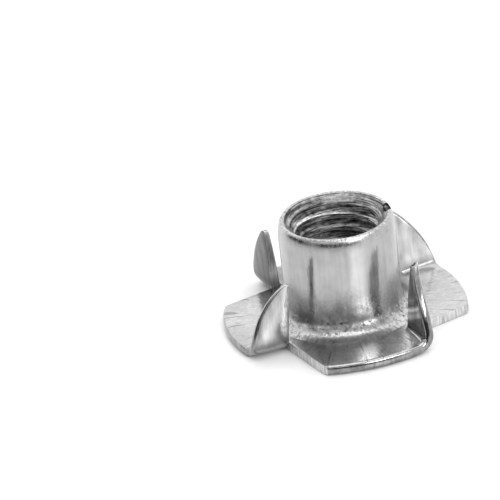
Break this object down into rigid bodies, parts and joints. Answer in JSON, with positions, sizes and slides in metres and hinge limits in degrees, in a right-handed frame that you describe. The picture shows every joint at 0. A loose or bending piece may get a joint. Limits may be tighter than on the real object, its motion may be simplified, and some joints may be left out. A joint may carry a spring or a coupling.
{
  "type": "tee nut",
  "caption": "Stamped steel tee nut: a threaded barrel on a lobed flange whose prongs are cut and folded up to bite into wood and hold the nut against turning.",
  "frame": {"origin": "on the barrel's axis, at the flange's outer face, on which the nut stands", "axes": "+Z along the barrel from the flange to the open rim; the picture looks along +Y"},
  "size_m": [0.0254, 0.0253, 0.0115],
  "materials": {
    "zinc_steel": "bright zinc plating on drawn sheet, with fine scratches and sheared edges"
  },
  "bodies": {
    "root": {"tee_nut": "zinc_steel"}
  },
  "joints": []
}
